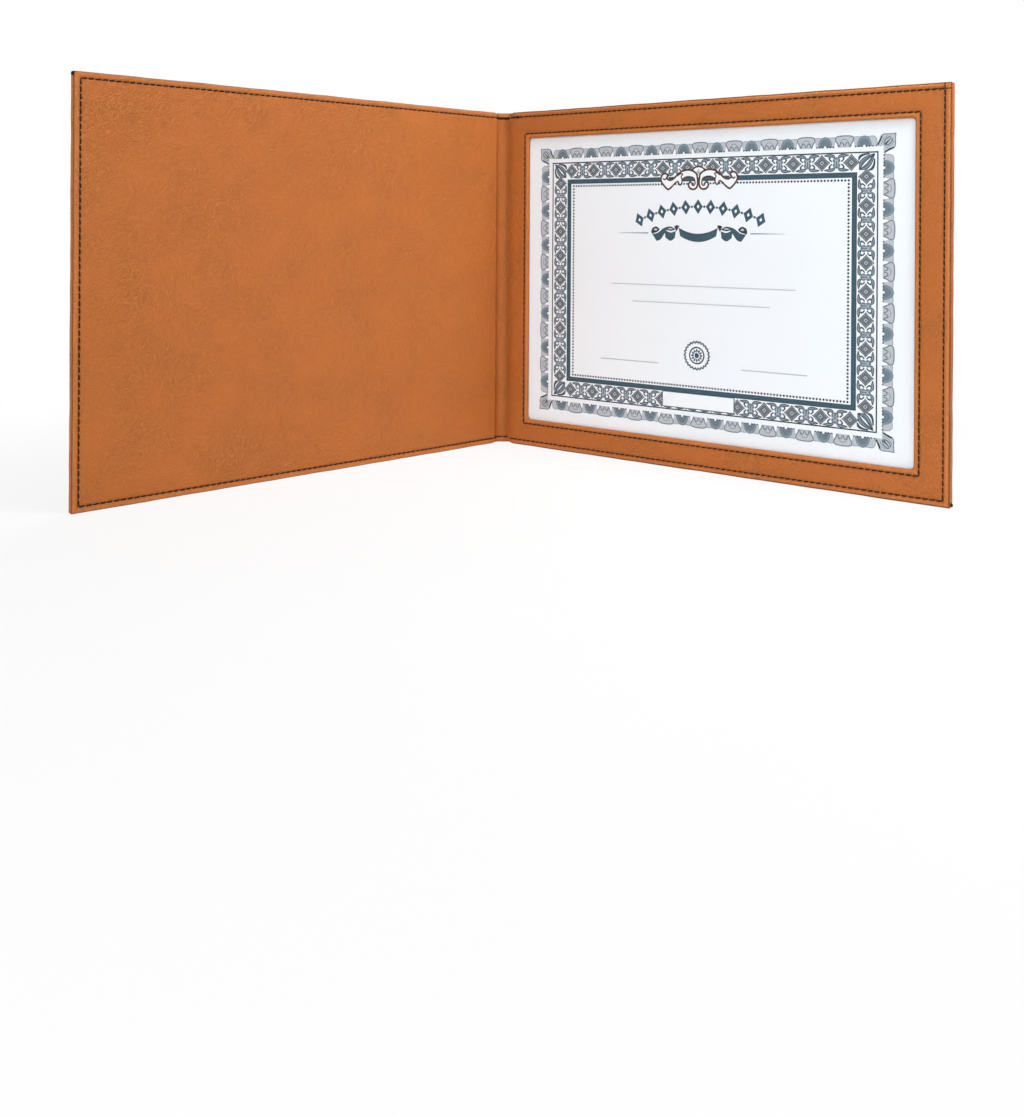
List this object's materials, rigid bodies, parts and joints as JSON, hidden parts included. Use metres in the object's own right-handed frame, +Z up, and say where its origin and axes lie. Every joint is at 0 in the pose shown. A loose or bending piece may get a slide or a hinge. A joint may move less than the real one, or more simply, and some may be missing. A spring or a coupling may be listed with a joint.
{
  "type": "certificate holder",
  "caption": "Folding leatherette certificate holder: two padded covers on a soft creased spine, with a sewn window frame and film over the sheet in the back cover.",
  "frame": {"origin": "centre of the box's foot: the surface that the holder stands on, as it stands open at 98 degrees", "axes": "+Z up along the creases; +X along the back cover from its crease to its fore edge; the window faces -Y"},
  "size_m": [0.3522, 0.307, 0.2286],
  "materials": {
    "outer_leatherette": "fine grained satin leatherette",
    "lining_leatherette": "fine grained satin leatherette",
    "greyboard": "matt",
    "frame_card": "matt",
    "backing_paper": "matt",
    "certificate_paper": "smooth matt",
    "clear_film": "clear gloss plastic film",
    "padding_foam": "soft sheet",
    "sewing_thread": "twisted thread"
  },
  "bodies": {
    "back_cover": {"back_outer_skin": "outer_leatherette", "back_board": "greyboard", "back_gutter_lining": "lining_leatherette", "pocket_backing": "backing_paper", "certificate": "certificate_paper", "window_film": "clear_film", "frame_card": "frame_card", "window_frame_skin": "lining_leatherette", "back_needle_thread": "sewing_thread", "back_bobbin_thread": "sewing_thread", "window_thread": "sewing_thread"},
    "spine": {"spine_outer_skin": "outer_leatherette", "spine_lining": "lining_leatherette", "spine_needle_thread": "sewing_thread", "spine_bobbin_thread": "sewing_thread"},
    "front_cover": {"front_outer_skin": "outer_leatherette", "front_board": "greyboard", "front_padding": "padding_foam", "front_lining": "lining_leatherette", "front_needle_thread": "sewing_thread", "front_bobbin_thread": "sewing_thread"}
  },
  "joints": [
    {"name": "back_crease", "type": "hinge", "parent": "back_cover", "child": "spine", "pos_m": [-0.12688, 0.15149, 0], "axis": [0, 0, 1], "range_deg": [-41, 49]},
    {"name": "front_crease", "type": "hinge", "parent": "spine", "child": "front_cover", "pos_m": [-0.13232, 0.14676, 0], "axis": [0, 0, 1], "range_deg": [-41, 49]}
  ]
}
